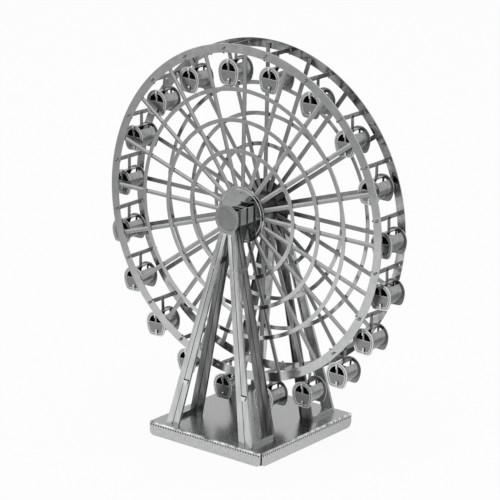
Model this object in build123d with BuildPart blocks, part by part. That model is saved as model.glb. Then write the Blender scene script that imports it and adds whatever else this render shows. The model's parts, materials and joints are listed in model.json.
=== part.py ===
"""Ferris wheel toy folded from thin bright steel sheet.

Millimetres. X runs along the wheel, Y along its axle (the front is -Y) and Z up.
The origin is the middle of the base's footprint, on the surface it stands on.
"""

import os
from math import atan2, cos, hypot, pi, radians, sin

from build123d import *

# ---- Driving dimensions ----

sheet = 0.3  # every folded part is cut from this sheet
slot_clearance = 0.05  # between a tab and its slot, and between butted sheets

base_length = 45.0  # along X
base_width = 47.0  # along Y
base_height = 4.5
skirt_corner_gap = 0.35  # open slit between two skirts
skirt_corner_radius = 1.6  # lower corners of each skirt
foot_inset_x = 7.9  # leg centre line from the base's edge
foot_inset_y = 2.0  # outer legs' faces from the base's edge

drum_radius = 3.4
drum_length = 6.9
drum_mouth_angle = 40.0  # degrees from the top, where the drum's sides begin
roof_strip_angle = 13.0  # half the angle of the strip that closes the drum's top
end_plate_lip = 0.5  # end plate beyond the drum
end_plate_foot = 5.1  # flat bottom of an end plate
end_plate_chin = 0.9  # flat bottom below the drum
window_inset = 1.2
window_sill = 0.2  # above the plate's middle
mullion_width = 0.5
tab_slot_width = 0.45
tab_slot_height = 1.7
hanger_length = 4.25  # bar's middle to the drum's top
hanger_width = 1.2
bar_width = 1.35  # height of the cross bar at the top of each hanger
bar_end_play = 0.15  # between the bar's shoulders and the rims
pivot_width = 0.8  # the bar's narrow end, which turns in the rim's hole
pivot_clearance = 0.08
tab_play = 0.1  # between the twisted end and the rim
tab_length = 0.8  # twisted end beyond the rim
tab_width = 1.1
tab_twist = 40.0  # degrees

cabin_count = 20
first_bar_angle = 98.4  # degrees from +X, where the photographed wheel stopped
cabin_side_clearance = 1.65  # between a cabin and the spokes

hub_disc_radius = 8.9
hub_disc_thickness = 0.4
hoop_count = 3
hub_to_hoop = 11.0
hoop_pitch = 9.6
hoop_to_bars = 12.5
hoop_width = 1.3
rim_width = 2.8
spoke_width = 1.4
spoke_gap = 0.27  # between two spokes at their inner ends
spoke_fold = 0.2  # depth of the folded spoke's ridge
spoke_ridge = 0.24  # flat on top of the ridge
spoke_rim_lap = 1.8  # how far a spoke reaches behind the rim

pressed_line_inset = 0.9  # line near the edge of the round discs
pressed_line_width = 0.3
pressed_line_depth = 0.12

axle_radius = 1.2
running_clearance = 0.08  # axle in its bores
hub_end_play = 0.35  # hub disc to bearing box
axle_end_play = 0.1
bearing_size = 5.0  # square box that carries the axle
frame_eye_wall = 0.75  # round eye plate around the bearing box's corners, behind the cap
inner_eye_wall = 0.45  # square eye plate around the bearing box
cap_overhang = 0.26
cap_thickness = 0.35
base_clearance = 4.45  # lowest cabin to the base's top sheet
inner_frame_clearance = 2.35  # inner legs to the wheel's tabs
frame_spacing = 2.5  # inner to outer legs at the bearing
fold_gap = 0.3  # fold at the top of the legs, below the cap
leg_top_gap = 0.4  # between the two legs at the fold
leg_top_width = 2.8
leg_foot_width = 4.7
leg_top_flange = 0.7
leg_foot_flange = 0.8
leg_crease_width = 0.3  # groove down the middle of each leg's face
leg_crease_depth = 0.12
foot_strap_height = 1.2
tie_plate_height = 1.9
tie_plate_level = 51.5  # above the base's top sheet

# ---- Sizes worked out from them ----

end_plate_radius = drum_radius + end_plate_lip
end_plate_drop = drum_radius + end_plate_chin
window_radius = end_plate_radius - window_inset
cabin_drop = hanger_length + drum_radius
pivot_hole_radius = hypot(pivot_width / 2, sheet / 2) + pivot_clearance

hoop_radii = [hub_disc_radius + hub_to_hoop + hoop_pitch * index for index in range(hoop_count)]
bar_circle_radius = hoop_radii[-1] + hoop_to_bars
rim_radius = bar_circle_radius + rim_width / 2
rim_inner_radius = rim_radius - rim_width
bar_angles = [first_bar_angle - 360.0 / cabin_count * index for index in range(cabin_count)]
spoke_angles = [angle + 180.0 / cabin_count for angle in bar_angles]
spoke_inner_radius = (spoke_width + spoke_gap) * cabin_count / (2 * pi)
spoke_outer_radius = rim_inner_radius + spoke_rim_lap

wheel_half_width = drum_length / 2 + sheet + cabin_side_clearance + spoke_fold + sheet
wheel_face = wheel_half_width + sheet
hub_face = wheel_half_width + hub_disc_thickness
axle_height = base_height + base_clearance + end_plate_drop + cabin_drop + bar_circle_radius

inner_frame_y = wheel_face + tab_length + inner_frame_clearance + leg_foot_flange
bearing_inner_y = hub_face + hub_end_play
bearing_outer_y = inner_frame_y + frame_spacing
outer_frame_y = bearing_outer_y + sheet
outer_foot_y = base_width / 2 - foot_inset_y
foot_spread = base_length / 2 - foot_inset_x
top_spread = (leg_top_width + leg_top_gap) / 2
frame_eye_radius = hypot(bearing_size / 2, bearing_size / 2) + frame_eye_wall
cap_radius = frame_eye_radius + cap_overhang
fold_height = axle_height - cap_radius - fold_gap

os.makedirs("parts", exist_ok=True)


def save(piece, name):
    """Label a finished part and write its STEP file."""
    piece.label = name
    export_step(piece, f"parts/{name}.step")


def save_pair(piece, name):
    """The piece at the front, and its mirror image at the back."""
    save(piece, f"front_{name}")
    with BuildPart() as back:
        mirror(piece, about=Plane.XZ)
    save(back.part, f"back_{name}")


def upright(y, height=0):
    """Plane that faces the front: sketch X is X and sketch Y is Z, from the given height."""
    return Plane(origin=(0, y, height), x_dir=(1, 0, 0), z_dir=(0, -1, 0))


def press_line(radius, plane):
    """A circular groove in a disc's outer face."""
    with BuildSketch(plane) as line:
        Circle(radius + pressed_line_width / 2)
        Circle(radius - pressed_line_width / 2, mode=Mode.SUBTRACT)
    extrude(line.sketch, amount=-pressed_line_depth, mode=Mode.SUBTRACT)


# ---- Base tray: a top sheet with four skirts folded down ----


def skirt(plane, length):
    """One skirt with rounded lower corners, hanging from the top sheet."""
    with BuildSketch(plane) as outline:
        Rectangle(length, base_height, align=(Align.CENTER, Align.MIN))
        fillet(outline.vertices().group_by(Axis.Y)[0], radius=skirt_corner_radius)
    extrude(outline.sketch, amount=-sheet)


with BuildPart() as base_tray:
    with BuildSketch(Plane.XY.offset(base_height - sheet)):
        Rectangle(base_length, base_width)
    extrude(amount=sheet)
    for facing in (-1, 1):
        end_skirt = Plane(origin=(facing * base_length / 2, 0, 0), x_dir=(0, facing, 0), z_dir=(facing, 0, 0))
        skirt(end_skirt, base_width - 2 * (sheet + skirt_corner_gap))
        side_skirt = Plane(origin=(0, facing * base_width / 2, 0), x_dir=(-facing, 0, 0), z_dir=(0, facing, 0))
        skirt(side_skirt, base_length - 2 * skirt_corner_gap)
save(base_tray.part, "base_tray")


# ---- Towers: channel legs that meet around the bearing box ----


def leg_share(height):
    """0 where the legs are folded at their top, 1 on the base."""
    return (fold_height - height) / (fold_height - base_height)


def leg_x(height):
    """Distance of a leg's centre line from the middle."""
    return top_spread + (foot_spread - top_spread) * leg_share(height)


def leg_y(foot_y, frame_y, height):
    """Distance of a leg's outer face from the middle."""
    return frame_y + (foot_y - frame_y) * leg_share(height)


def leg_width(height):
    return leg_top_width + (leg_foot_width - leg_top_width) * leg_share(height)


def leg_flange(height):
    return leg_top_flange + (leg_foot_flange - leg_top_flange) * leg_share(height)


def channel(plane, width, flange):
    """A folded channel's section: its creased face along sketch X, its two flanges along sketch Y."""
    with BuildSketch(plane) as section:
        Rectangle(width, flange, align=(Align.CENTER, Align.MIN))
        with Locations((0, sheet)):
            Rectangle(width - 2 * sheet, flange, align=(Align.CENTER, Align.MIN), mode=Mode.SUBTRACT)
        crease = leg_crease_width / 2
        Polygon((-crease, 0), (crease, 0), (0, leg_crease_depth), align=None, mode=Mode.SUBTRACT)
    return section.sketch


def leg_frame(frame_y, foot_y):
    """Two channel legs, and the neck plate that joins them below the bearing box."""
    top_height = fold_height + sheet
    low_height = base_height - leg_foot_width
    inward = Vector(0, axle_height - base_height, -(foot_y - frame_y)).normalized()
    for side in (-1, 1):
        top = Vector(side * leg_x(top_height), -leg_y(foot_y, frame_y, top_height), top_height)
        low = Vector(side * leg_x(low_height), -leg_y(foot_y, frame_y, low_height), low_height)
        down = low - top
        leg_top = Plane(origin=top, x_dir=inward.cross(down), z_dir=down)
        sections = [
            channel(leg_top, leg_width(top_height), leg_flange(top_height)),
            channel(leg_top.offset(down.length), leg_width(low_height), leg_flange(low_height)),
        ]
        loft(sections, ruled=True)
    split(bisect_by=Plane.XY.offset(base_height), keep=Keep.TOP)
    neck_width = 2 * leg_x(fold_height) + leg_width(fold_height)
    neck_height = axle_height - bearing_size / 2 - fold_height
    with BuildSketch(upright(sheet - frame_y, fold_height)) as neck:
        Rectangle(neck_width, neck_height, align=(Align.CENTER, Align.MIN))
    extrude(neck.sketch, amount=sheet)


with BuildPart() as outer_legs:
    leg_frame(outer_frame_y, outer_foot_y)
    with BuildSketch(upright(sheet - outer_frame_y, axle_height)):
        Circle(frame_eye_radius)
    extrude(amount=sheet)
save_pair(outer_legs.part, "outer_legs")

with BuildPart() as inner_legs:
    leg_frame(inner_frame_y, inner_frame_y)
    with BuildSketch(upright(sheet - inner_frame_y, axle_height)):
        Rectangle(bearing_size + 2 * inner_eye_wall, bearing_size + 2 * inner_eye_wall)
    extrude(amount=sheet)
    with BuildSketch(upright(-inner_frame_y, axle_height)):
        Rectangle(bearing_size, bearing_size)
    extrude(amount=-sheet, mode=Mode.SUBTRACT)
save_pair(inner_legs.part, "inner_legs")


def straps(low, high):
    """Upright strips in all four corners, from each outer leg's flange to the inner leg behind it."""
    fall = atan2(outer_foot_y - outer_frame_y, fold_height - base_height)
    outer_end = leg_y(outer_foot_y, outer_frame_y, high) - leg_flange(high) / cos(fall) - slot_clearance
    inner_end = inner_frame_y + slot_clearance
    across = leg_x(low) + leg_width(low) / 2 - sheet / 2
    with BuildSketch(Plane.XY.offset(low)) as plan:
        with GridLocations(2 * across, outer_end + inner_end, 2, 2):
            Rectangle(sheet, outer_end - inner_end)
    extrude(plan.sketch, amount=high - low)


with BuildPart() as foot_straps:
    straps(base_height, base_height + foot_strap_height)
save(foot_straps.part, "foot_straps")

with BuildPart() as tie_plates:
    straps(base_height + tie_plate_level, base_height + tie_plate_level + tie_plate_height)
save(tie_plates.part, "tie_plates")

with BuildPart() as bearing_box:
    with BuildSketch(upright(-bearing_inner_y, axle_height)):
        Rectangle(bearing_size, bearing_size)
    extrude(amount=bearing_outer_y - bearing_inner_y)
    with BuildSketch(upright(-bearing_inner_y - sheet, axle_height)):
        Rectangle(bearing_size - 2 * sheet, bearing_size - 2 * sheet)
        Rectangle(bearing_size - 2 * sheet, bearing_size, align=(Align.CENTER, Align.MIN))
    extrude(amount=bearing_outer_y - bearing_inner_y - 2 * sheet, mode=Mode.SUBTRACT)
    with BuildSketch(upright(-bearing_inner_y, axle_height)):
        Circle(axle_radius + running_clearance)
    extrude(amount=bearing_outer_y - bearing_inner_y, mode=Mode.SUBTRACT)
save_pair(bearing_box.part, "bearing_box")

with BuildPart() as bearing_caps:
    with BuildSketch(upright(-outer_frame_y, axle_height)):
        Circle(cap_radius)
    extrude(amount=cap_thickness)
    press_line(cap_radius - pressed_line_inset, upright(-outer_frame_y - cap_thickness, axle_height))
    mirror(about=Plane.XZ)
save(bearing_caps.part, "bearing_caps")


# ---- Wheel: two sides of rim, hoops, spokes and hub disc, pressed on the axle ----

with BuildPart() as axle:
    with BuildSketch(upright(bearing_outer_y - axle_end_play, axle_height)):
        Circle(axle_radius)
    extrude(amount=2 * (bearing_outer_y - axle_end_play))
save(axle.part, "axle")

with BuildPart() as hub_disc:
    with BuildSketch(upright(-wheel_half_width, axle_height)):
        Circle(hub_disc_radius)
        Circle(axle_radius, mode=Mode.SUBTRACT)
    extrude(amount=hub_disc_thickness)
    press_line(hub_disc_radius - pressed_line_inset, upright(-hub_face, axle_height))
save_pair(hub_disc.part, "hub_disc")

with BuildPart() as rim:
    with BuildSketch(upright(-wheel_half_width, axle_height)):
        Circle(rim_radius)
        Circle(rim_inner_radius, mode=Mode.SUBTRACT)
        with PolarLocations(bar_circle_radius, cabin_count, start_angle=first_bar_angle):
            Circle(pivot_hole_radius, mode=Mode.SUBTRACT)
    extrude(amount=sheet)
save_pair(rim.part, "rim")

with BuildPart() as hoops:
    with BuildSketch(upright(-wheel_half_width, axle_height)):
        for radius in reversed(hoop_radii):
            Circle(radius + hoop_width / 2)
            Circle(radius - hoop_width / 2, mode=Mode.SUBTRACT)
    extrude(amount=sheet)
save_pair(hoops.part, "hoops")

half_spoke = [(spoke_ridge / 2, 0), (spoke_width / 2, spoke_fold), (spoke_width / 2, spoke_fold + sheet)]
spoke_section = half_spoke + [(0, sheet)] + [(-x, y) for x, y in reversed(half_spoke)]

with BuildPart() as spokes:
    for angle in spoke_angles:
        outward = Vector(cos(radians(angle)), 0, sin(radians(angle)))
        start = Vector(0, -wheel_half_width, axle_height) + outward * spoke_inner_radius
        with BuildSketch(Plane(origin=start, x_dir=Vector(0, 1, 0).cross(outward), z_dir=outward)):
            Polygon(*spoke_section, align=None)
        extrude(amount=spoke_outer_radius - spoke_inner_radius)
save_pair(spokes.part, "spokes")


# ---- Cabins: made around their pivots at the origin, then hung between the rims ----


def top_wedge(half_angle, mode):
    """A triangle over the drum's middle that covers its top, to the given angle each way."""
    reach = 2 * drum_radius
    corner = (reach * sin(radians(half_angle)), reach * cos(radians(half_angle)))
    Polygon((0, 0), corner, (-corner[0], corner[1]), align=None, mode=mode)


with BuildPart() as cabin_shell:
    for half_angle, mode in ((drum_mouth_angle, Mode.SUBTRACT), (roof_strip_angle, Mode.INTERSECT)):
        with BuildSketch(upright(drum_length / 2, -cabin_drop)):
            Circle(drum_radius)
            Circle(drum_radius - sheet, mode=Mode.SUBTRACT)
            top_wedge(half_angle, mode)
        extrude(amount=drum_length)
    with BuildSketch(upright(hanger_width / 2)):
        Rectangle(sheet, hanger_length + sheet / 2, align=(Align.CENTER, Align.MAX))
    extrude(amount=hanger_width)
    for width, reach in (
        (bar_width, wheel_half_width - bar_end_play),
        (pivot_width, wheel_face + tab_play),
    ):
        with BuildSketch(upright(reach)):
            Rectangle(sheet, width)
        extrude(amount=2 * reach)
    for tab_base in (wheel_face + tab_length, -wheel_face - tab_play):
        with BuildSketch(upright(tab_base)):
            Rectangle(sheet, tab_width, rotation=tab_twist)
        extrude(amount=tab_length - tab_play)

with BuildPart() as cabin_ends:
    with BuildSketch(upright(-drum_length / 2, -cabin_drop)):
        with BuildLine():
            CenterArc((0, 0), end_plate_radius, 0, 180)
            left_cheek = TangentArc(
                (-end_plate_radius, 0), (-end_plate_foot / 2, -end_plate_drop), tangent=(0, -1)
            )
            right_cheek = TangentArc(
                (end_plate_radius, 0), (end_plate_foot / 2, -end_plate_drop), tangent=(0, -1)
            )
            Line(left_cheek @ 1, right_cheek @ 1)
        make_face()
        with Locations((0, -end_plate_drop + tab_slot_width)):
            Rectangle(
                tab_slot_width, tab_slot_height, align=(Align.CENTER, Align.MIN), mode=Mode.SUBTRACT
            )
    extrude(amount=sheet)
    with BuildSketch(upright(-drum_length / 2, -cabin_drop)):
        Circle(window_radius)
        with Locations((0, window_sill)):
            Rectangle(
                2 * window_radius, window_radius, align=(Align.CENTER, Align.MIN), mode=Mode.INTERSECT
            )
        Rectangle(mullion_width, 2 * window_radius, mode=Mode.SUBTRACT)
    extrude(amount=sheet, mode=Mode.SUBTRACT)
    mirror(about=Plane.XZ)

for index, angle in enumerate(bar_angles):
    bar = Location(
        (
            bar_circle_radius * cos(radians(angle)),
            0,
            axle_height + bar_circle_radius * sin(radians(angle)),
        )
    )
    save(cabin_shell.part.moved(bar), f"cabin_{index + 1:02d}_shell")
    save(cabin_ends.part.moved(bar), f"cabin_{index + 1:02d}_ends")
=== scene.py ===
"""Ferris wheel toy: the dressed model, its materials and a plain studio.

The frame and every Blender object are in metres. Shapes are drawn here in millimetres and
scaled when they become pieces. X runs along the wheel, Y along its axle (the front is -Y)
and Z up.
"""

import json
import math
import random

import bmesh
import bpy
from mathutils import Matrix, Vector

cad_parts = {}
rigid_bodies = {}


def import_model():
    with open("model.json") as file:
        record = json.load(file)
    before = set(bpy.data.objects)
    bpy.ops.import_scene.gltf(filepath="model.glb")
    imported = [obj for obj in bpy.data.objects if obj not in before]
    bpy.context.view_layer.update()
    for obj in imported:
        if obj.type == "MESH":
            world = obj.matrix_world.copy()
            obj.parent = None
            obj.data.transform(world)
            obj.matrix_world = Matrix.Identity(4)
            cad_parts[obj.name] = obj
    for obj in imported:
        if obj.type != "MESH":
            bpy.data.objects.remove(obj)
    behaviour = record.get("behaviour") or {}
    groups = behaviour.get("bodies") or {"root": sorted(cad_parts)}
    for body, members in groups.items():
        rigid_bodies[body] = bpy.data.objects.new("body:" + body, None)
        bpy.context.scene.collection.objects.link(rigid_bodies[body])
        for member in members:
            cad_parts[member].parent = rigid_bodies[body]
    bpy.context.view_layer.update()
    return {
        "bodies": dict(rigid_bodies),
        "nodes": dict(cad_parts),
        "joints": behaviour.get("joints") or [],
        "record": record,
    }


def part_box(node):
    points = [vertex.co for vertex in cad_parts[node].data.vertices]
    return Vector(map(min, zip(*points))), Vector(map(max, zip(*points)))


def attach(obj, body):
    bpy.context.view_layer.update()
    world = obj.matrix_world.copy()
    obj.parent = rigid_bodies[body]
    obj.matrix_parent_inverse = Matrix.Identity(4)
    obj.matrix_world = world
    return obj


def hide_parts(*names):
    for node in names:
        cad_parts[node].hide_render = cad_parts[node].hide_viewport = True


MM = 0.001
SIDES = {"front": -1, "back": 1}
ALONG_X, ALONG_Y, ALONG_Z = (1, 0, 0), (0, 1, 0), (0, 0, 1)
QUARTER = math.pi / 2

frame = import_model()

# ---- Sizes in millimetres. The literal ones are the solids' own, where no box in the frame shows them ----


def node_box(node):
    """Lowest and highest corner of a CAD node."""
    low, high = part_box(node)
    return low / MM, high / MM


joints = {joint["name"]: joint for joint in frame["joints"]}
hub = Vector(joints["wheel_spin"]["pos_m"]) / MM
cabins = sorted(name for name in frame["bodies"] if name.startswith("cabin_"))
bars = {name: Vector(joints[f"{name}_swing"]["pos_m"]) / MM for name in cabins}
bar_circle = (bars[cabins[0]] - hub).length
bar_angles = [math.atan2(bars[name].z - hub.z, bars[name].x - hub.x) for name in cabins]
bar_pitch = 2 * math.pi / len(cabins)

rim_low, rim_high = node_box("front_rim")
rim_radius = (rim_high.x - rim_low.x) / 2
rim_width = 2 * (rim_radius - bar_circle)
wheel_face = -rim_low.y
sheet = rim_high.y - rim_low.y
wheel_back = wheel_face - sheet

hoops_low, hoops_high = node_box("front_hoops")
hoop_width = 1.3
hoop_pitch = 9.6
hoop_count = 3
outer_hoop = (hoops_high.x - hoops_low.x) / 2 - hoop_width / 2
hoop_radii = [outer_hoop - hoop_pitch * index for index in range(hoop_count)]

disc_low, disc_high = node_box("front_hub_disc")
disc_radius = (disc_high.x - disc_low.x) / 2
disc_face = -disc_low.y

caps_low, caps_high = node_box("bearing_caps")
cap_radius = (caps_high.x - caps_low.x) / 2
cap_face = caps_high.y
cap_thickness = 0.35

axle_low, axle_high = node_box("axle")
axle_radius = (axle_high.x - axle_low.x) / 2
axle_chamfer = 0.25
axle_clearance = 0.08

box_low, box_high = node_box("front_bearing_box")
box_half = box_high.x
box_inner, box_outer = -box_high.y, -box_low.y

tray_high = node_box("base_tray")[1]
fold_radius = 0.5
corner_gap = 0.35  # between two neighbouring skirts
skirt_corner = 1.6
foot_inset_x = 7.9  # of an outer leg's foot from the tray's edges
foot_inset_y = 2.0
leg_top_x = 1.6
leg_fold_gap = 0.3  # between a cap and the fold at the top of the legs

ends_low, ends_high = (corner - bars[cabins[0]] for corner in node_box(f"{cabins[0]}_ends"))
shell_low, shell_high = (corner - bars[cabins[0]] for corner in node_box(f"{cabins[0]}_shell"))
plate_face = ends_high.y
drum_length = 2 * (plate_face - sheet)
drum_radius = (shell_high.x - shell_low.x) / 2
drum_centre = Vector((0, 0, shell_low.z + drum_radius))
drum_mouth = 40  # degrees from the top to the opening's edge
roof_strip = 13  # degrees from the top to the strip's edge
bar_height = 2 * shell_high.z
pivot_width = 0.8
pivot_hole = 0.507
tab_width = 1.1
tab_reach = shell_high.y
hanger_width = 1.2
plate_radius = (ends_high.x - ends_low.x) / 2
plate_drop = drum_centre.z - ends_low.z
plate_foot = 5.1
plate_corner = 0.9
plate_border = 0.45
plate_line_inset = 0.74
plate_line_width = 0.26
etch_depth = 0.1
window_radius = plate_radius - 1.2
window_sill = 0.2
window_frame = 0.12
mullion = 0.5
slot_width = 0.45
slot_height = 1.7

# ---- Materials ----

BUMP_STRENGTH = 0.6
WEAR = 0.04  # how far roughness strays to either side


class Steel:
    """Builds one bare steel finish out of nodes."""

    def __init__(self, name, color, roughness):
        self.material = bpy.data.materials.new(name)
        self.material.use_nodes = True
        self.tree = self.material.node_tree
        self.shader = self.tree.nodes["Principled BSDF"]
        self.shader.inputs["Metallic"].default_value = 1.0
        self.place = self.tree.nodes.new("ShaderNodeTexCoord").outputs["Object"]
        self.color = color
        self.roughness = roughness

    def node(self, kind, **settings):
        made = self.tree.nodes.new(kind)
        for key, value in settings.items():
            setattr(made, key, value)
        return made

    def noise(self, size_mm, detail, stretch=(1.0, 1.0, 1.0)):
        """Noise whose features are about size_mm across."""
        scale = self.node("ShaderNodeVectorMath", operation="MULTIPLY")
        scale.inputs[1].default_value = stretch
        self.tree.links.new(self.place, scale.inputs[0])
        noise = self.node("ShaderNodeTexNoise")
        noise.inputs["Scale"].default_value = 1.0 / (size_mm * MM)
        noise.inputs["Detail"].default_value = detail
        self.tree.links.new(scale.outputs[0], noise.inputs["Vector"])
        return noise.outputs["Fac"]

    def spread(self, source, low, high):
        """Maps a 0.3 to 0.7 noise to a range."""
        span = self.node("ShaderNodeMapRange")
        limits = {"From Min": 0.3, "From Max": 0.7, "To Min": low, "To Max": high}
        for socket, value in limits.items():
            span.inputs[socket].default_value = value
        self.tree.links.new(source, span.inputs["Value"])
        return span.outputs["Result"]

    def tint(self, source, change):
        """Colour that varies by the given share around the steel's own."""
        ramp = self.node("ShaderNodeMix", data_type="RGBA")
        for socket, factor in ((6, 1.0 - change), (7, 1.0 + change)):
            ramp.inputs[socket].default_value = (*(channel * factor for channel in self.color), 1.0)
        self.tree.links.new(self.spread(source, 0.0, 1.0), ramp.inputs["Factor"])
        self.tree.links.new(ramp.outputs[2], self.shader.inputs["Base Color"])

    def gloss(self, source):
        """Roughness that varies around the steel's own."""
        worn = self.spread(source, self.roughness - WEAR, self.roughness + WEAR)
        self.tree.links.new(worn, self.shader.inputs["Roughness"])

    def bump(self, *sources):
        """Adds one bump over another, each (noise, height in mm)."""
        normal = None
        for source, height_mm in sources:
            bump = self.node("ShaderNodeBump")
            bump.inputs["Strength"].default_value = BUMP_STRENGTH
            bump.inputs["Distance"].default_value = height_mm * MM
            self.tree.links.new(source, bump.inputs["Height"])
            if normal:
                self.tree.links.new(normal, bump.inputs["Normal"])
            normal = bump.outputs["Normal"]
        self.tree.links.new(normal, self.shader.inputs["Normal"])


def rolled_steel(name, color, roughness, grain=0.006, ripple=0.02, cloud=0.08, cloud_mm=3.0, streak=1.0):
    """Smooth sheet with faint rolling lines, slow waves and clouds of lighter and darker colour, which are
    random tone and, where the cloud share is large, painted reflections.

    Grain and ripple are heights in mm, and cloud is a share of the colour. A streak below 1
    draws the clouds out along Z.
    """
    steel = Steel(name, color, roughness)
    steel.tint(steel.noise(cloud_mm, 4.0, (1.0, 1.0, streak)), cloud)
    steel.gloss(steel.noise(2.0, 1.5))
    lines = steel.noise(0.5, 1.0, (1.0, 1.0, 0.06))
    waves = steel.noise(9.0, 1.0)
    steel.bump((waves, ripple), (lines, grain))
    return steel.material


def speckled_steel(name, color, roughness, speck_mm):
    """Satin sheet with a fine etched speckle."""
    steel = Steel(name, color, roughness)
    steel.tint(steel.noise(speck_mm, 5.0), 0.22)
    steel.gloss(steel.noise(0.9, 2.0))
    grains = steel.noise(0.5, 5.0)
    waves = steel.noise(14.0, 1.0)
    steel.bump((waves, 0.03), (grains, 0.0007))
    return steel.material


def grey(level):
    """Bare steel of the given brightness, a trace cooler in its blue."""
    return (level, level * 1.0075, level * 1.015)


LEG_GRAIN = {"grain": 0.003, "cloud_mm": 1.6, "streak": 0.12}
# brightness, roughness and what differs from plain rolled steel
ROLLED = {
    "bright_sheet": (0.52, 0.16, {}),
    "spoke_sheet": (0.34, 0.34, {}),
    "box_sheet": (0.4, 0.16, {}),
    "leg_sheet": (0.56, 0.2, {"cloud": 0.14, **LEG_GRAIN}),
    "shaded_leg": (0.16, 0.2, {"cloud": 0.5, **LEG_GRAIN}),
    # painted highlight and painted reflections: a brighter, cloudier copy of the tray's sheet for the bends
    "bend_painted_highlight": (0.5, 0.18, {"grain": 0.01, "ripple": 0.06, "cloud": 0.75, "cloud_mm": 2.2}),
    "polished_disc": (0.6, 0.06, {"grain": 0.0015, "ripple": 0.003}),
    # painted shade: a dark copy of the hub plates' polished sheet for their faces that look inward
    "disc_inner_painted_shade": (0.16, 0.1, {"grain": 0.002, "ripple": 0.01, "cloud": 0.3}),
    # painted shade and painted reflections: a darker, blotchy copy of the rims' sheet for their faces that
    # look inward
    "rim_inner_painted_shade": (0.4, 0.13, {"ripple": 0.03, "cloud": 0.45, "cloud_mm": 3.5}),
    "satin_disc": (0.3, 0.28, {"grain": 0.004, "ripple": 0.01}),
    "cabin_sheet": (0.32, 0.24, {"cloud": 0.2, "cloud_mm": 1.6}),
    "axle_rod": (0.34, 0.3, {}),
    "raised_line": (0.68, 0.26, {}),
    "pit_shade": (0.03, 0.6, {}),
    "inner_shade": (0.05, 0.4, {}),
}
# brightness, roughness and the size of the speckle in mm
SPECKLED = {
    "satin_sheet": (0.33, 0.24, 0.45),
    # painted reflection: the skirts are a brighter copy of the top's sheet, standing in for the bright floor
    # that they mirror
    "skirt_painted_reflection": (0.5, 0.34, 0.45),
    "etched_plate": (0.26, 0.34, 0.3),
}
materials = {}
for name, (brightness, roughness, detail) in ROLLED.items():
    materials[name] = rolled_steel(name, grey(brightness), roughness, **detail)
for name, (brightness, roughness, speck_mm) in SPECKLED.items():
    materials[name] = speckled_steel(name, grey(brightness), roughness, speck_mm)
slots = {entry["node"]: entry["material_slot"] for entry in frame["record"]["subparts"]}
for node, cad_object in frame["nodes"].items():
    cad_object.data.materials.clear()
    cad_object.data.materials.append(materials[slots[node]])

# ---- Helpers that make meshes, in millimetres, and pieces ----

EDGE = 0.04  # rounding of a sheet's edges
FINE_EDGE = 0.03
WELD = 0.0005  # vertices closer than this become one
SHARP = math.radians(32)  # edges above this are rounded
CRISP = math.radians(20)  # edges above this are shaded apart
FLAT = math.radians(1)  # edges below this are dissolved


def as_mesh(sketch, name):
    """Turns a bmesh into a mesh and frees it."""
    mesh = bpy.data.meshes.new(name)
    sketch.to_mesh(mesh)
    sketch.free()
    return mesh


def welded(sketch, name):
    """Closes the seams of a bmesh, turns its faces outward and makes it a mesh."""
    bmesh.ops.remove_doubles(sketch, verts=sketch.verts, dist=WELD)
    bmesh.ops.recalc_face_normals(sketch, faces=sketch.faces)
    return as_mesh(sketch, name)


def drawn(build, *arguments):
    """Runs a drawing function on an empty bmesh."""
    sketch = bmesh.new()
    build(sketch, *arguments)
    return welded(sketch, "drawn")


def joined(meshes):
    """One mesh out of several, welded where a curve left its fill apart from its sides."""
    sketch = bmesh.new()
    for mesh in meshes:
        sketch.from_mesh(mesh)
    return welded(sketch, "joined")


def rounded(mesh, width=EDGE):
    """Rounds the sharp edges of a mesh."""
    holder = bpy.data.objects.new("holder", mesh)
    bpy.context.scene.collection.objects.link(holder)
    bevel = holder.modifiers.new("bevel", "BEVEL")
    bevel.width = width
    bevel.segments = 2
    bevel.limit_method = "ANGLE"
    bevel.angle_limit = SHARP
    bpy.context.view_layer.update()
    done = bpy.data.meshes.new_from_object(holder.evaluated_get(bpy.context.evaluated_depsgraph_get()))
    bpy.data.objects.remove(holder)
    return done


def finished(mesh, name, material):
    """Scales a mesh to metres, shades it and gives it its material."""
    mesh.name = name
    mesh.transform(Matrix.Scale(MM, 4))
    mesh.shade_smooth()
    mesh.set_sharp_from_angle(angle=CRISP)
    mesh.materials.clear()
    mesh.materials.append(materials[material])
    return mesh


def shade(mesh, picked, material="inner_shade"):
    """Gives another material to the faces that picked(centre in mm, normal) chooses."""
    mesh.materials.append(materials[material])
    for polygon in mesh.polygons:
        if picked(polygon.center / MM, polygon.normal):
            polygon.material_index = 1


def place(mesh, name, body, replaced=(), at=None):
    """Puts a finished mesh into the scene, riding on its body."""
    piece = bpy.data.objects.new(name, mesh)
    bpy.context.scene.collection.objects.link(piece)
    if at:
        piece.matrix_world = at
    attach(piece, body)
    if replaced:
        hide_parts(*replaced)


def add_piece(mesh, name, body, material, replaced=(), shaded=None):
    """Finishes a mesh in millimetres and places it. shaded holds the arguments of shade."""
    finished(mesh, name, material)
    if shaded:
        shade(mesh, *shaded)
    place(mesh, name, body, replaced)


def dress(node, body, width=FINE_EDGE, material=None):
    """Adds a CAD node's own shape with its edges rounded."""
    sketch = bmesh.new()
    sketch.from_mesh(frame["nodes"][node].data)
    bmesh.ops.scale(sketch, vec=(1 / MM,) * 3, verts=sketch.verts)
    bmesh.ops.remove_doubles(sketch, verts=sketch.verts, dist=WELD)
    bmesh.ops.dissolve_limit(sketch, angle_limit=FLAT, verts=sketch.verts, edges=sketch.edges)
    mesh = rounded(as_mesh(sketch, "dressed"), width)
    add_piece(mesh, f"{node}_sheet", body, material or slots[node], [node])


def skin(sketch, rows, closed):
    """Skins rows of vertices. The rows are joined end to end where closed."""
    count = len(rows[0])
    pairs = list(zip(rows, rows[1:]))
    if closed:
        pairs.append((rows[-1], rows[0]))
    for near, far in pairs:
        for index in range(count):
            after = (index + 1) % count
            sketch.faces.new((near[index], near[after], far[after], far[index]))
    if not closed:
        sketch.faces.new(rows[0][::-1])
        sketch.faces.new(rows[-1])


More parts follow.
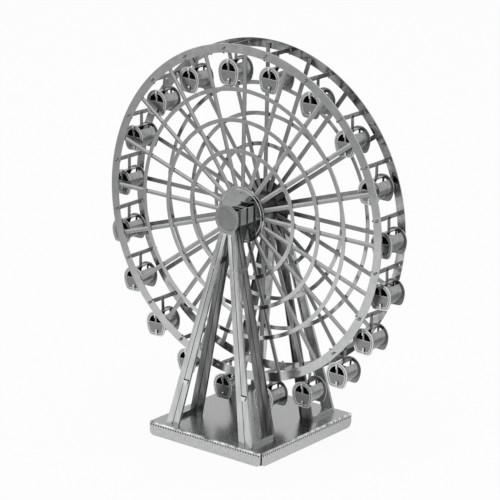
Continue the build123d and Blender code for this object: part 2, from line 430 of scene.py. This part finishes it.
def strip(sketch, path, across, width, thickness=sheet, turn=None, taper=None):
    """A strip of sheet bent along a path, its width along the across direction.

    turn gives the twist about the path and taper the share of the width, for each share of
    the strip's length.
    """
    across = Vector(across).normalized()
    rows = []
    for index, point in enumerate(path):
        share = index / (len(path) - 1)
        along = path[min(index + 1, len(path) - 1)] - path[max(index - 1, 0)]
        sideways = across
        if turn:
            sideways = Matrix.Rotation(turn(share), 3, along) @ across
        out = sideways.cross(along).normalized()
        half = width / 2 * (taper(share) if taper else 1.0)
        corners = ((-half, -1), (half, -1), (half, 1), (-half, 1))
        rows.append([sketch.verts.new(point + sideways * a + out * b * thickness / 2) for a, b in corners])
    skin(sketch, rows, False)


def arc(centre, radius, start, stop, count, plane="XZ"):
    """Points on an arc, in degrees from X (or Y) towards Z."""
    points = []
    for index in range(count + 1):
        angle = math.radians(start + (stop - start) * index / count)
        along, up = radius * math.cos(angle), radius * math.sin(angle)
        points.append(Vector(centre) + (Vector((along, 0, up)) if plane == "XZ" else Vector((0, along, up))))
    return points


def circle(radius, count, centre=hub):
    """A circle in the XZ plane as (x, z)."""
    turns = (2 * math.pi * index / count for index in range(count))
    return [(centre.x + radius * math.cos(turn), centre.z + radius * math.sin(turn)) for turn in turns]


def turned(sketch, profile, segments):
    """A closed profile of (radius, y) turned about the axle."""
    rows = []
    for index in range(segments):
        angle = 2 * math.pi * index / segments
        row = []
        for radius, y in profile:
            row.append(sketch.verts.new(hub + Vector((radius * math.cos(angle), y, radius * math.sin(angle)))))
        rows.append(row)
    skin(sketch, rows, True)


def band(inner, outer, back, face):
    """Profile of a flat ring with its four edges broken."""
    toward = math.copysign(EDGE, face - back)
    return [
        (inner + EDGE, back),
        (outer - EDGE, back),
        (outer, back + toward),
        (outer, face - toward),
        (outer - EDGE, face),
        (inner + EDGE, face),
        (inner, face - toward),
        (inner, back + toward),
    ]


def cut_sheet(outlines, y, thickness, edge=EDGE):
    """Flat sheet in the XZ plane cut to outlines of (x, z), with their holes, centred on y."""
    curve = bpy.data.curves.new("cut", "CURVE")
    curve.dimensions = "2D"
    curve.fill_mode = "BOTH"
    curve.extrude = thickness / 2 - edge
    curve.bevel_depth = edge
    curve.bevel_resolution = 1
    curve.offset = -edge
    for outline in outlines:
        spline = curve.splines.new("POLY")
        spline.points.add(len(outline) - 1)
        for point, (x, z) in zip(spline.points, outline):
            point.co = (x, z, 0, 1)
        spline.use_cyclic_u = True
    holder = bpy.data.objects.new("cut", curve)
    bpy.context.scene.collection.objects.link(holder)
    mesh = bpy.data.meshes.new_from_object(holder)
    bpy.data.objects.remove(holder)
    mesh.transform(Matrix.Translation((0, y, 0)) @ Matrix.Rotation(QUARTER, 4, "X"))
    return mesh


# ---- Wheel: rims, hoops, hub discs, spokes, axle ----

TURNED_TOWARD = 0.7  # how much of a normal lies along a direction that its face looks in
PRESS_INSET = 0.9  # of a pressed ring from a disc's edge
PRESS_DEPTH = 0.12


def inward(sign):
    """A test for the faces that look at the wheel's other side."""
    return lambda centre, normal: normal.y * sign < -TURNED_TOWARD


def pressed(radius, face, sign, half_top, half_floor):
    """The stretch of a turned profile that dips into a pressed ring, from the outside in."""
    floor = face - sign * PRESS_DEPTH
    return [
        (radius + half_top, face),
        (radius + half_floor, floor),
        (radius - half_floor, floor),
        (radius - half_top, face),
    ]


def draw_hoops(sketch, sign):
    for radius in hoop_radii:
        inner, outer = radius - hoop_width / 2, radius + hoop_width / 2
        turned(sketch, band(inner, outer, sign * wheel_back, sign * wheel_face), 180)


def draw_disc(sketch, sign):
    face = sign * disc_face
    outline = band(axle_radius, disc_radius, sign * wheel_back, face)
    ring = pressed(disc_radius - PRESS_INSET, face, sign, 0.2, 0.08)
    turned(sketch, outline[:5] + ring + outline[5:], 120)


def draw_axle(sketch):
    reach, waist = axle_high.y, axle_radius - axle_chamfer
    near = [(0, -reach), (waist, -reach), (axle_radius, -reach + axle_chamfer)]
    far = [(axle_radius, reach - axle_chamfer), (waist, reach), (0, reach)]
    turned(sketch, near + far, 32)


rim_outlines = [circle(rim_radius, 360), circle(rim_radius - rim_width, 360)]
rim_outlines += [circle(pivot_hole, 24, bars[name]) for name in cabins]

for side, sign in SIDES.items():
    rim = joined([cut_sheet(rim_outlines, sign * (wheel_face - sheet / 2), sheet)])
    # painted shade: the faces that look at the wheel's other side get a darker, blotchy copy of the sheet
    shaded_backs = (inward(sign), "rim_inner_painted_shade")
    add_piece(rim, f"{side}_rim_ring", "wheel", "bright_sheet", [f"{side}_rim"], shaded_backs)
    hoops = drawn(draw_hoops, sign)
    add_piece(hoops, f"{side}_hoop_rings", "wheel", "bright_sheet", [f"{side}_hoops"])
    disc = drawn(draw_disc, sign)
    # painted shade: the hub plate's faces that look inward get a dark copy of its sheet
    shaded_backs = (inward(sign), "disc_inner_painted_shade")
    add_piece(disc, f"{side}_hub_plate", "wheel", "polished_disc", [f"{side}_hub_disc"], shaded_backs)
    dress(f"{side}_spokes", "wheel", FINE_EDGE, "spoke_sheet")

add_piece(drawn(draw_axle), "axle_rod_turned", "wheel", "axle_rod", ["axle"])

# ---- Twisted tabs that hold the wheel's sheets together ----

TWIST = math.radians(65)
TAB_SHEET = 0.22
TAB_ROOT = 0.1  # how far inside the sheet a tab starts
HOOP_TAB = (0.45, 0.5)  # length and width
HUB_TAB = (0.62, 0.7)
RIM_TAB = (0.5, 0.8)
HUB_TAB_INSET = 1.9


def tab(sketch, root, outward, across, length, width):
    """A tab that stands out of a sheet and is twisted to lock it."""
    path = [root + outward * (length * row / 4 - 0.05) for row in range(5)]
    strip(sketch, path, across, width, TAB_SHEET, lambda share: TWIST * share, lambda share: 1 - 0.15 * share)


def draw_wheel_tabs(sketch):
    for sign in SIDES.values():
        face = Vector((0, sign, 0))
        surface = face * (wheel_face - TAB_ROOT)
        for index, angle in enumerate(bar_angles):
            spoke = angle + bar_pitch / 2
            radial = Vector((math.cos(spoke), 0, math.sin(spoke)))
            for ring, radius in enumerate(hoop_radii):
                if (index + ring) % 2 == 0:
                    tab(sketch, hub + radial * (radius + hoop_width / 2) + surface, face, radial, *HOOP_TAB)
            if index % 5 == 1:
                root = hub + radial * (disc_radius - HUB_TAB_INSET) + face * disc_face
                tab(sketch, root, face, radial, *HUB_TAB)
            radial = Vector((math.cos(angle), 0, math.sin(angle)))
            tab(sketch, hub + radial * (rim_radius - rim_width) + surface, face, radial, *RIM_TAB)


add_piece(drawn(draw_wheel_tabs), "wheel_tabs", "wheel", "box_sheet")

# ---- Cabins ----


def plate_outline(inset):
    """Arched end plate: a half circle, bulging cheeks and a flat foot, drawn in by the inset."""
    radius = plate_radius - inset
    half_foot = plate_foot / 2 - inset * 0.7
    drop = plate_drop - inset
    # the cheek's arc leaves the half circle straight down and ends at the foot's corner
    reach = radius - half_foot
    cheek = (reach**2 + drop**2) / (2 * reach)
    sweep = math.asin(drop / cheek)
    arch_steps, cheek_steps, corner_steps = 32, 7, 6
    points = []
    for index in range(arch_steps + 1):
        angle = math.pi * index / arch_steps
        points.append((radius * math.cos(angle), radius * math.sin(angle)))
    bend = plate_corner - inset * 0.6
    cheeks = []
    for index in range(1, cheek_steps + 1):
        angle = sweep * (1 - bend / (cheek * sweep)) * index / cheek_steps
        cheeks.append((radius - cheek + cheek * math.cos(angle), -cheek * math.sin(angle)))
    near, corner, far = cheeks[-1], (half_foot, -drop), (half_foot - bend, -drop)
    for index in range(1, corner_steps + 1):
        t = index / corner_steps
        weights = ((1 - t) ** 2, 2 * t * (1 - t), t * t)
        cheeks.append(tuple(sum(w * p[axis] for w, p in zip(weights, (near, corner, far))) for axis in (0, 1)))
    points += [(-x, z) for x, z in cheeks]
    points += cheeks[::-1]
    return [(x, z + drum_centre.z) for x, z in points]


def window_outline(hand, grow):
    """Quarter window beside the mullion, grown by the given amount."""
    radius = window_radius + grow
    left, low = mullion / 2 - grow, window_sill - grow
    first = math.asin(low / radius)
    last = math.acos(left / radius)
    steps = 16
    corner = [(left, low)]
    for index in range(steps + 1):
        angle = first + (last - first) * index / steps
        corner.append((radius * math.cos(angle), radius * math.sin(angle)))
    return [(hand * x, z + drum_centre.z) for x, z in corner]


def slot_outline():
    """The slot at the foot of a plate."""
    low = drum_centre.z - plate_drop + slot_width
    high, half = low + slot_height, slot_width / 2
    return [(-half, low), (half, low), (half, high), (-half, high)]


HOOK_CURL = 0.34
HOOK_LENGTH = 1.5
HOOK_WIDTH = 0.72
HOOK_SHEET = 0.2


def draw_hooks(sketch):
    """Curled locking tabs, one over each plate's slot and one above its mullion."""
    slot_top = drum_centre.z - plate_drop + slot_width + slot_height
    arch_top = drum_centre.z + plate_radius - 0.4
    for sign in SIDES.values():
        for x, top in ((0.3, slot_top), (-0.1, arch_top)):
            path = arc((x, plate_face - 0.02, top - HOOK_CURL), HOOK_CURL, 90, 10, 8, "YZ")
            tip = path[-1]
            path += [tip + Vector((0, -0.06 * step, -HOOK_LENGTH * step / 3)) for step in range(1, 4)]
            path = [Vector((point.x, sign * point.y, point.z)) for point in path]
            strip(sketch, path, ALONG_X, HOOK_WIDTH, HOOK_SHEET, None, lambda share: 1.0 - 0.25 * share)


FIELD_INSET = 0.02  # of the plates' sheet from the edge of the raised lines
LAP = 0.01  # how far the raised lines sink into the plate
SHADE_DISC_SHEET = 0.06
SHADE_DISC_GAP = 0.03  # around the painted-shade disc inside the drum

holes = [window_outline(-1, 0), window_outline(1, 0), slot_outline()]
line_inner = plate_line_inset + plate_line_width
raised = [plate_outline(inset) for inset in (0, plate_border, plate_line_inset, line_inner)]
for hand in (-1, 1):
    raised += [window_outline(hand, window_frame), window_outline(hand, 0)]
# painted shade: a dark disc inside the drum behind each end plate, with the windows and the slot cut out
shade_disc_outline = circle(drum_radius - sheet - SHADE_DISC_GAP, 64, drum_centre)
field_sheet = sheet - etch_depth
field_depth = plate_face - etch_depth - field_sheet / 2
line_depth = plate_face - etch_depth / 2 - LAP
shade_disc_depth = plate_face - sheet - SHADE_DISC_SHEET / 2
fields = []
lines = []
for sign in SIDES.values():
    fields.append(cut_sheet([plate_outline(FIELD_INSET)] + holes, sign * field_depth, field_sheet))
    fields.append(cut_sheet([shade_disc_outline] + holes, sign * shade_disc_depth, SHADE_DISC_SHEET, 0.01))
    lines.append(cut_sheet(raised, sign * line_depth, etch_depth + 2 * LAP, 0.02))
lines.append(drawn(draw_hooks))


def draw_drum(sketch):
    """The curled drum, the strip that roofs its mouth and the stem that hangs it."""
    middle = drum_radius - sheet / 2
    strip(sketch, arc(drum_centre, middle, 90 + drum_mouth, 450 - drum_mouth, 56), ALONG_Y, drum_length)
    strip(sketch, arc(drum_centre, middle, 90 - roof_strip, 90 + roof_strip, 8), ALONG_Y, drum_length)
    stem_foot = Vector((0, 0, drum_centre.z + drum_radius - 0.1))
    stem = [stem_foot.lerp(Vector((0, 0, 0)), step / 6) for step in range(7)]
    strip(sketch, stem, ALONG_Y, hanger_width)


def draw_bar(sketch):
    """The cross bar: wide between the rims, narrow in their holes and twisted outside them."""
    shoulder, neck = wheel_back - 0.15, wheel_face + 0.1
    tab_middle = (tab_reach + neck) / 2
    outline = [  # y, width and twist
        (0, bar_height, 0),
        (shoulder, bar_height, 0),
        (shoulder + 0.01, pivot_width, 0),
        (neck, pivot_width, 0),
        (neck + 0.05, tab_width, TWIST / 3),
        (tab_middle, tab_width, TWIST),
        (tab_reach, tab_width * 0.8, TWIST),
    ]
    outline = [(-y, width, twist) for y, width, twist in outline[:0:-1]] + outline
    path = [Vector((0, y, 0)) for y, _, _ in outline]
    last = len(outline) - 1
    twist = [row[2] for row in outline]
    widths = [row[1] for row in outline]
    strip(
        sketch,
        path,
        ALONG_Z,
        1.0,
        sheet,
        lambda share: twist[round(share * last)],
        lambda share: widths[round(share * last)],
    )


def draw_shell(sketch):
    draw_drum(sketch)
    draw_bar(sketch)


def inside_drum(centre, normal):
    """Whether a face lies on the inner side of the curled sheet."""
    toward = (drum_centre - centre).xz
    return toward.length < drum_radius - sheet / 2 and normal.xz.dot(toward) > TURNED_TOWARD


def on_shade_disc(centre, normal):
    return abs(centre.y) < plate_face - sheet - 0.01


shell_mesh = finished(rounded(drawn(draw_shell)), "cabin_shell_mesh", "cabin_sheet")
# painted shade: the drum's inner faces get the dark inner_shade
shade(shell_mesh, inside_drum)
field_mesh = finished(joined(fields), "cabin_plate_mesh", "etched_plate")
# the disc inside the drum gets the dark inner_shade: painted shade
shade(field_mesh, on_shade_disc)
line_mesh = finished(joined(lines), "cabin_line_mesh", "raised_line")

LEAN = 2.5  # most degrees that a cabin leans
YAW = 2.0  # most degrees that it turns about its hanger
ASKEW_SEED = 11

askew = random.Random(ASKEW_SEED)
for cabin in cabins:
    lean = Matrix.Rotation(math.radians(askew.uniform(-LEAN, LEAN)), 4, "Y")
    yaw = Matrix.Rotation(math.radians(askew.uniform(-YAW, YAW)), 4, "Z")
    at = Matrix.Translation(bars[cabin] * MM) @ lean @ yaw
    place(shell_mesh, f"{cabin}_drum", cabin, [f"{cabin}_shell"], at)
    place(field_mesh, f"{cabin}_plates", cabin, [f"{cabin}_ends"], at)
    place(line_mesh, f"{cabin}_lines", cabin, (), at)

# ---- Towers: legs, straps, tabs, painted crease shade, caps and bearing boxes ----

LEG_EDGE = 0.05

for side in SIDES:
    dress(f"{side}_outer_legs", "root", LEG_EDGE, "leg_sheet")
    dress(f"{side}_inner_legs", "root", LEG_EDGE, "shaded_leg")
dress("foot_straps", "root")
dress("tie_plates", "root", FINE_EDGE, "spoke_sheet")

LEG_FOLD = hub.z - cap_radius - leg_fold_gap
LEG_FOOT_X = tray_high.x - foot_inset_x
OUTER_Y = (cap_face - cap_thickness, tray_high.y - foot_inset_y)  # of the leg's face, top and foot
INNER_Y = (-node_box("front_inner_legs")[0].y,) * 2
LEGS = [(hand, sign) for sign in SIDES.values() for hand in (-1, 1)]


def leg_spot(faces, hand, sign, height):
    """A point on the middle of a leg's outer face."""
    share = (LEG_FOLD - height) / (LEG_FOLD - tray_high.z)
    x = hand * (leg_top_x + (LEG_FOOT_X - leg_top_x) * share)
    return Vector((x, sign * (faces[0] + (faces[1] - faces[0]) * share), height))


TWISTED_TAB = (57.0, 0.5, 1.1)  # height, shift to the side and width
TWISTED_TAB_TURN = math.radians(35)
FOLDED_TAB_HEIGHT = 19.5
FOLDED_TAB_SHIFT = Vector((0.9, 0, 0))
FOLDED_TAB_WIDTH = 1.9
FOLDED_TAB = ((-0.1, 0.0), (0.15, 0.0), (0.32, -0.1), (0.38, -0.4), (0.42, -0.8), (0.46, -1.2))  # y, z
# painted shade: dark strips in the legs' grooves and under the folded tabs
CREASE_SHADE_WIDTH = 0.24
CREASE_SHADE_DEPTH = 0.07
SLOT_SHADE_WIDTH = 2.2
SLOT_SHADE_HEIGHTS = (-0.05, 0.45)  # from the folded tab's root
SHADE_STRIP_SHEET = 0.06


def draw_leg_tabs(sketch):
    """Tabs that stand out of the outer legs: twisted high up, folded down near the feet."""
    height, shift, width = TWISTED_TAB
    for hand, sign in LEGS:
        face = Vector((0, sign, 0))
        root = leg_spot(OUTER_Y, hand, sign, height) + Vector((shift, 0, 0))
        path = [root + face * (0.12 * row) for row in range(5)]
        strip(sketch, path, ALONG_X, width, TAB_SHEET, lambda share: TWISTED_TAB_TURN * share)
        root = leg_spot(OUTER_Y, hand, sign, FOLDED_TAB_HEIGHT) + FOLDED_TAB_SHIFT
        path = [root + face * y + Vector((0, 0, z)) for y, z in FOLDED_TAB]
        strip(sketch, path, ALONG_X, FOLDED_TAB_WIDTH, TAB_SHEET, None, lambda share: 1.0 - 0.45 * share**2)


def draw_crease_shade(sketch):
    """Painted shade: dark strips at the bottom of the groove down each leg, and dark strips on the face under
    the folded tabs that stand in for their slots.
    """
    for faces in (OUTER_Y, INNER_Y):
        for hand, sign in LEGS:
            ends = [leg_spot(faces, hand, sign, height) for height in (LEG_FOLD - 0.5, tray_high.z + 0.2)]
            ends = [end - Vector((0, sign * CREASE_SHADE_DEPTH, 0)) for end in ends]
            strip(sketch, ends, ALONG_X, CREASE_SHADE_WIDTH, SHADE_STRIP_SHEET)
    for hand, sign in LEGS:
        heights = [FOLDED_TAB_HEIGHT + rise for rise in SLOT_SHADE_HEIGHTS]
        ends = [leg_spot(OUTER_Y, hand, sign, height) + FOLDED_TAB_SHIFT for height in heights]
        strip(sketch, ends, ALONG_X, SLOT_SHADE_WIDTH, SHADE_STRIP_SHEET)


def draw_caps(sketch):
    for sign in SIDES.values():
        back, face = sign * (cap_face - cap_thickness), sign * cap_face
        rounding = sign * EDGE
        outline = [(0, back), (cap_radius - EDGE, back), (cap_radius, back + rounding)]
        outline += [(cap_radius, face - rounding), (cap_radius - EDGE, face)]
        outline += pressed(cap_radius - PRESS_INSET, face, sign, 0.18, 0.07) + [(0, face)]
        turned(sketch, outline, 96)


def on_cap_border(centre, normal):
    return (centre - hub).xz.length > cap_radius - PRESS_INSET + 0.1


def draw_box(sign):
    """Folded box around the axle: closed sides, an open top and a bored sheet at each end."""
    bore = circle(axle_radius + axle_clearance, 32)
    low, high = hub.z - box_half, hub.z + box_half
    end = [(-box_half, low), (box_half, low), (box_half, high), (-box_half, high)]
    end_depths = (box_inner + sheet / 2, box_outer - sheet / 2)
    walls = [cut_sheet([end, bore], sign * depth, sheet) for depth in end_depths]
    length = (box_outer - box_inner) / 2 - sheet
    middle = sign * (box_inner + box_outer) / 2
    flat = [(-length, low), (length, low), (length, high), (-length, high)]
    across = box_half - sheet
    bottom = [(-across, -length), (across, -length), (across, length), (-across, length)]
    for facing in (-1, 1):
        wall = cut_sheet([flat], facing * (box_half - sheet / 2), sheet)
        wall.transform(Matrix.Translation((0, middle, 0)) @ Matrix.Rotation(QUARTER, 4, "Z"))
        walls.append(wall)
    wall = cut_sheet([bottom], 0, sheet)
    wall.transform(Matrix.Translation((0, middle, low + sheet / 2)) @ Matrix.Rotation(QUARTER, 4, "X"))
    walls.append(wall)
    return joined(walls)


add_piece(drawn(draw_leg_tabs), "leg_tabs", "root", "raised_line")
# painted shade in the legs' grooves and under the folded tabs
add_piece(drawn(draw_crease_shade), "leg_crease_shade", "root", "pit_shade")
cap_border = (on_cap_border, "box_sheet")
add_piece(drawn(draw_caps), "round_caps", "root", "satin_disc", ["bearing_caps"], cap_border)
for side, sign in SIDES.items():
    replaced = [f"{side}_bearing_box"]
    add_piece(draw_box(sign), f"{side}_folded_box", "root", "box_sheet", replaced)

# ---- Base tray: top sheet, bends and skirts ----

DOT_PITCH = 1.0
DOT_REACH = (0.27, 0.3)  # half the width and height of a dot
DOT_DROP = 0.42  # below the bend
DOT_MARGIN = 0.6  # from the skirt's ends to the first dot
DENT = 0.05  # depth of the bends' unevenness
SIDE_FOLD_SEED, LONG_FOLD_SEED = 5, 9  # to which a bend adds the way it faces, -1 or 1
PIT_SHADE_HEIGHT = 0.8  # of the painted-shade strip behind the dots
PIT_SHADE_SHEET = 0.12
GAP_SHADE_INSET = 0.95  # of the painted-shade strip behind a corner gap
GAP_SHADE_WIDTH = 1.7
GAP_SHADE_SHEET = 0.1


def draw_fold(sketch, start, stop, outward, seed):
    """A quarter-round bend from the top sheet to a skirt, a little uneven along its length."""
    noise = random.Random(seed)
    length = (stop - start).length
    along = (stop - start).normalized()
    count = max(2, round(length / DOT_PITCH * 2))
    up = Vector(ALONG_Z)
    steps = 6
    rows = []
    for index in range(count + 1):
        dent = noise.uniform(0.0, DENT)
        spot = start + along * (length * index / count)
        row = []
        for step in range(steps + 1):
            angle = QUARTER * step / steps
            radius = fold_radius - dent * math.sin(2 * angle)
            row.append(spot + outward * (radius * math.cos(angle)) + up * (radius * math.sin(angle)))
        inner = fold_radius - sheet
        for step in range(steps, -1, -3):
            angle = QUARTER * step / steps
            row.append(spot + outward * (inner * math.cos(angle)) + up * (inner * math.sin(angle)))
        rows.append([sketch.verts.new(point) for point in row])
    skin(sketch, rows, False)


def draw_folds(sketch):
    half_x, half_y = tray_high.x, tray_high.y
    reach_x, reach_y = half_x - corner_gap, half_y - sheet - corner_gap
    low = tray_high.z - fold_radius
    for facing in (-1, 1):
        x, y = facing * (half_x - fold_radius), facing * (half_y - fold_radius)
        ends = Vector((x, -reach_y, low)), Vector((x, reach_y, low))
        draw_fold(sketch, *ends, Vector((facing, 0, 0)), facing + SIDE_FOLD_SEED)
        ends = Vector((-reach_x, y, low)), Vector((reach_x, y, low))
        draw_fold(sketch, *ends, Vector((0, facing, 0)), facing + LONG_FOLD_SEED)


def draw_top(sketch):
    """The top sheet between the bends."""
    reach_x, reach_y = tray_high.x - fold_radius, tray_high.y - fold_radius
    corners = ((-reach_x, -reach_y), (reach_x, -reach_y), (reach_x, reach_y), (-reach_x, reach_y))
    heights = (tray_high.z - sheet, tray_high.z)
    skin(sketch, [[sketch.verts.new(Vector((x, y, z))) for x, y in corners] for z in heights], False)


def skirt_mesh(facing, along_y):
    """One skirt with rounded lower corners, and the row of dots its bend was etched with."""
    reach = tray_high.y - sheet - corner_gap if along_y else tray_high.x - corner_gap
    top = tray_high.z - fold_radius
    steps = 8
    outline = [(-reach, top), (reach, top)]
    for centre, first in ((reach - skirt_corner, 0), (skirt_corner - reach, -90)):
        for index in range(steps + 1):
            angle = math.radians(first - 90 * index / steps)
            spot = (centre + skirt_corner * math.cos(angle), skirt_corner + skirt_corner * math.sin(angle))
            outline.append(spot)
    span = 2 * (reach - DOT_MARGIN)
    count = round(span / DOT_PITCH)
    turns = [math.pi * (2 * index + 1) / 8 for index in range(8)]
    dot = [(DOT_REACH[0] * math.cos(turn), top - DOT_DROP + DOT_REACH[1] * math.sin(turn)) for turn in turns]
    outlines = [outline]
    for index in range(count + 1):
        shift = -reach + DOT_MARGIN + span * index / count
        outlines.append([(x + shift, z) for x, z in dot])
    depth = (tray_high.x if along_y else tray_high.y) - sheet / 2
    mesh = cut_sheet(outlines, facing * depth, sheet, FINE_EDGE)
    if along_y:
        mesh.transform(Matrix.Rotation(QUARTER, 4, "Z"))
    return mesh


def draw_shade(sketch):
    """Painted shade: a dark strip inside each skirt's sheet, seen through its row of dots, and a dark strip
    behind each corner gap.
    """
    half_x, half_y = tray_high.x, tray_high.y
    level = tray_high.z - fold_radius - DOT_DROP
    deep = sheet / 2
    short = corner_gap + 0.3
    reach_x, reach_y = half_x - short, half_y - sheet - short
    for facing in (-1, 1):
        x, y = facing * (half_x - deep), facing * (half_y - deep)
        ends = [Vector((x, end, level)) for end in (-reach_y, reach_y)]
        strip(sketch, ends, ALONG_Z, PIT_SHADE_HEIGHT, PIT_SHADE_SHEET)
        ends = [Vector((end, y, level)) for end in (-reach_x, reach_x)]
        strip(sketch, ends, ALONG_Z, PIT_SHADE_HEIGHT, PIT_SHADE_SHEET)
        for hand in (-1, 1):
            x, y = hand * (half_x - GAP_SHADE_INSET), facing * (half_y - GAP_SHADE_INSET)
            ends = [Vector((x, y, height)) for height in (0.3, tray_high.z - sheet)]
            strip(sketch, ends, (hand, -facing, 0), GAP_SHADE_WIDTH, GAP_SHADE_SHEET)


top = rounded(drawn(draw_top), 0.02)
skirts = joined([skirt_mesh(facing, along_y) for facing in (-1, 1) for along_y in (False, True)])
add_piece(top, "tray_top", "root", "satin_sheet", ["base_tray"])
# the bends' brighter colour is a painted highlight
add_piece(drawn(draw_folds), "tray_bends", "root", "bend_painted_highlight", ["base_tray"])
add_piece(drawn(draw_shade), "tray_shade", "root", "pit_shade")
# the skirts' brighter colour is a painted reflection of the floor
add_piece(skirts, "tray_skirts", "root", "skirt_painted_reflection", ["base_tray"])

# ---- Studio ----

WHITE = (1.0, 1.0, 1.0, 1.0)
WORLD_LIGHT = 0.7
FLOOR_SIZE = 8.0
FLOOR_LEVEL = 0.92  # colour of the floor, and the share of it that glows where it is seen
PATCH_CENTRE = (0.02, -0.12, 0.0)
PATCH = ((0.12, 1.0), (0.22, 0.45), (0.5, 0.45), (0.95, 1.0))  # metres from the centre, and glow


def math_node(tree, operation, first, second):
    """The result of a Math node fed by two sockets, or by a socket and a number."""
    made = tree.nodes.new("ShaderNodeMath")
    made.operation = operation
    tree.links.new(first, made.inputs[0])
    if isinstance(second, float):
        made.inputs[1].default_value = second
    else:
        tree.links.new(second, made.inputs[1])
    return made.outputs[0]


def seen(tree, share):
    """The share where the camera or a reflection looks at the backdrop, otherwise 0."""
    rays = tree.nodes.new("ShaderNodeLightPath").outputs
    either = math_node(tree, "MAXIMUM", rays["Is Camera Ray"], rays["Is Glossy Ray"])
    return math_node(tree, "MULTIPLY", either, share)


world = bpy.data.worlds.new("studio")
bpy.context.scene.world = world
world.use_nodes = True
sky = world.node_tree.nodes["Background"]
sky.inputs["Color"].default_value = WHITE
level = world.node_tree.nodes.new("ShaderNodeMapRange")
level.inputs["To Min"].default_value = WORLD_LIGHT
level.inputs["To Max"].default_value = 1.0
world.node_tree.links.new(seen(world.node_tree, 1.0), level.inputs["Value"])
world.node_tree.links.new(level.outputs["Result"], sky.inputs["Strength"])

bpy.ops.mesh.primitive_plane_add(size=FLOOR_SIZE, location=(0, 0, 0))
floor = bpy.context.object
floor.name = "studio_floor"
floor_paint = bpy.data.materials.new("floor_paint")
floor_paint.use_nodes = True
paint = floor_paint.node_tree
matt = paint.nodes["Principled BSDF"]
matt.inputs["Base Color"].default_value = (FLOOR_LEVEL, FLOOR_LEVEL, FLOOR_LEVEL, 1.0)
matt.inputs["Roughness"].default_value = 0.9
matt.inputs["Specular IOR Level"].default_value = 0.1
glow = paint.nodes.new("ShaderNodeEmission")
glow.inputs["Color"].default_value = WHITE
# the reflected floor is brightest in a patch before the object, dims around it and is white again far off
spot = paint.nodes.new("ShaderNodeTexCoord")
away = paint.nodes.new("ShaderNodeVectorMath")
away.operation = "DISTANCE"
away.inputs[1].default_value = PATCH_CENTRE
fade = paint.nodes.new("ShaderNodeValToRGB")
while len(fade.color_ramp.elements) < len(PATCH):
    fade.color_ramp.elements.new(0.5)
for stop, (position, value) in zip(fade.color_ramp.elements, PATCH):
    stop.position = position
    stop.color = (value, value, value, 1.0)
paint.links.new(spot.outputs["Object"], away.inputs[0])
paint.links.new(away.outputs["Value"], fade.inputs["Fac"])
direct = paint.nodes.new("ShaderNodeLightPath").outputs["Is Camera Ray"]
paint.links.new(math_node(paint, "MAXIMUM", direct, fade.outputs["Color"]), glow.inputs["Strength"])
blend = paint.nodes.new("ShaderNodeMixShader")
paint.links.new(seen(paint, FLOOR_LEVEL), blend.inputs["Fac"])
paint.links.new(matt.outputs["BSDF"], blend.inputs[1])
paint.links.new(glow.outputs["Emission"], blend.inputs[2])
paint.links.new(blend.outputs["Shader"], paint.nodes["Material Output"].inputs["Surface"])
floor.data.materials.append(floor_paint)


def direction(azimuth, elevation):
    """Unit vector towards an azimuth from the front and an elevation, in radians."""
    across = math.cos(elevation)
    return Vector((math.sin(azimuth) * across, -math.cos(azimuth) * across, math.sin(elevation)))


def softbox(name, azimuth, elevation, distance, width, height, watts):
    """An area lamp that looks at the hub, with its angles in degrees and its sizes in metres."""
    lamp = bpy.data.lights.new(name, "AREA")
    lamp.shape = "RECTANGLE"
    lamp.size = width
    lamp.size_y = height
    lamp.energy = watts
    holder = bpy.data.objects.new(name, lamp)
    way = direction(math.radians(azimuth), math.radians(elevation))
    holder.location = hub * MM + way * distance
    holder.rotation_euler = way.to_track_quat("Z", "Y").to_euler()
    bpy.context.scene.collection.objects.link(holder)


softbox("left_softbox", -40.0, 9.0, 0.8, 0.75, 0.45, 0.6)
softbox("top_softbox", 60.0, 70.0, 0.9, 0.6, 0.6, 1.2)

# ---- Camera, at the photograph's viewing angle ----

CAMERA_AZIMUTH = math.radians(38.37)
CAMERA_ELEVATION = math.radians(16.95)
CAMERA_ROLL = math.radians(0.65)
CAMERA_DISTANCE = 0.7797
CAMERA_LENS = 180.9
TARGET_SIDE = -0.00098
TARGET_HEIGHT = 0.05965

camera = bpy.data.objects.new("camera", bpy.data.cameras.new("camera"))
bpy.context.scene.collection.objects.link(camera)
camera.data.lens = CAMERA_LENS
camera.data.sensor_width = 36.0
camera.data.sensor_fit = "HORIZONTAL"
backward = direction(CAMERA_AZIMUTH, CAMERA_ELEVATION)
sideways = Vector((math.cos(CAMERA_AZIMUTH), math.sin(CAMERA_AZIMUTH), 0.0))
axes = Matrix((sideways, backward.cross(sideways), backward)).transposed().to_4x4()
eye = sideways * TARGET_SIDE + Vector((0, 0, TARGET_HEIGHT)) + backward * CAMERA_DISTANCE
camera.matrix_world = Matrix.Translation(eye) @ axes @ Matrix.Rotation(CAMERA_ROLL, 4, "Z")
bpy.context.scene.camera = camera
bpy.context.scene.view_settings.view_transform = "Standard"
